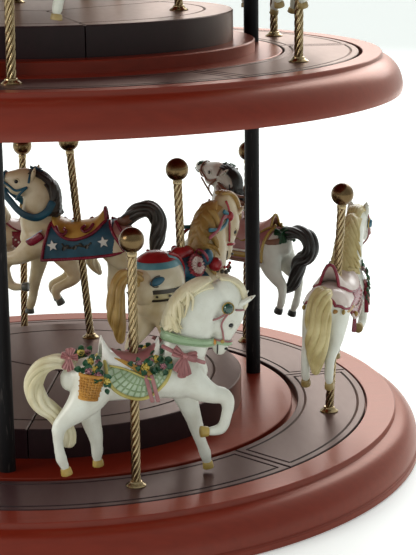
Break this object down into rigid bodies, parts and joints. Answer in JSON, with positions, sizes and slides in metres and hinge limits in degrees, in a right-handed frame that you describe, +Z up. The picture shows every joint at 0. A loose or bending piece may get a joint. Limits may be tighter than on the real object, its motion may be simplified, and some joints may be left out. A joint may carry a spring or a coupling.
{
  "type": "tabletop carousel horse display stand",
  "caption": "Round tiered turned-wood display carousel with slim posts, dark inlaid ring and disc sectors and miniature horses on twisted brass rods.",
  "frame": {"origin": "bottom centre of the base board, on the surface it stands on", "axes": "+Z up along the middle of the round boards; -Y towards the viewer of the front; the horses head anticlockwise seen from above"},
  "size_m": [0.4192, 0.42, 0.4297],
  "materials": {
    "mahogany": "satin lacquer, reddish brown",
    "dark_wood": "satin stained dark brown",
    "post_wood": "black satin, fine scratches",
    "brass": "aged polished",
    "painted_resin": "hand painted cast resin, satin glaze"
  },
  "bodies": {
    "root": {"base_board": "mahogany", "upper_board": "mahogany", "top_board": "mahogany", "post_1": "post_wood", "post_2": "post_wood", "post_3": "post_wood", "lower_ring_segment_1": "dark_wood", "lower_ring_segment_2": "dark_wood", "lower_ring_segment_3": "dark_wood", "lower_ring_segment_4": "dark_wood", "lower_ring_segment_5": "dark_wood", "lower_ring_segment_6": "dark_wood", "lower_disc_sector_1": "dark_wood", "lower_disc_sector_2": "dark_wood", "lower_disc_sector_3": "dark_wood", "upper_ring_segment_1": "dark_wood", "upper_ring_segment_2": "dark_wood", "upper_ring_segment_3": "dark_wood", "upper_ring_segment_4": "dark_wood", "upper_ring_segment_5": "dark_wood", "upper_ring_segment_6": "dark_wood", "upper_disc_sector_1": "dark_wood", "upper_disc_sector_2": "dark_wood", "upper_disc_sector_3": "dark_wood", "lower_outer_1_rod": "brass", "lower_outer_1_horse": "painted_resin", "lower_outer_2_rod": "brass", "lower_outer_2_horse": "painted_resin", "lower_outer_3_rod": "brass", "lower_outer_3_horse": "painted_resin", "lower_outer_4_rod": "brass", "lower_outer_4_horse": "painted_resin", "lower_outer_5_rod": "brass", "lower_outer_5_horse": "painted_resin", "lower_outer_6_rod": "brass", "lower_outer_6_horse": "painted_resin", "lower_inner_1_rod": "brass", "lower_inner_1_horse": "painted_resin", "lower_inner_2_rod": "brass", "lower_inner_2_horse": "painted_resin", "lower_inner_3_rod": "brass", "lower_inner_3_horse": "painted_resin", "upper_outer_1_rod": "brass", "upper_outer_1_horse": "painted_resin", "upper_outer_2_rod": "brass", "upper_outer_2_horse": "painted_resin", "upper_outer_3_rod": "brass", "upper_outer_3_horse": "painted_resin", "upper_outer_4_rod": "brass", "upper_outer_4_horse": "painted_resin", "upper_outer_5_rod": "brass", "upper_outer_5_horse": "painted_resin", "upper_outer_6_rod": "brass", "upper_outer_6_horse": "painted_resin", "upper_inner_1_rod": "brass", "upper_inner_1_horse": "painted_resin", "upper_inner_2_rod": "brass", "upper_inner_2_horse": "painted_resin", "upper_inner_3_rod": "brass", "upper_inner_3_horse": "painted_resin"}
  },
  "joints": []
}
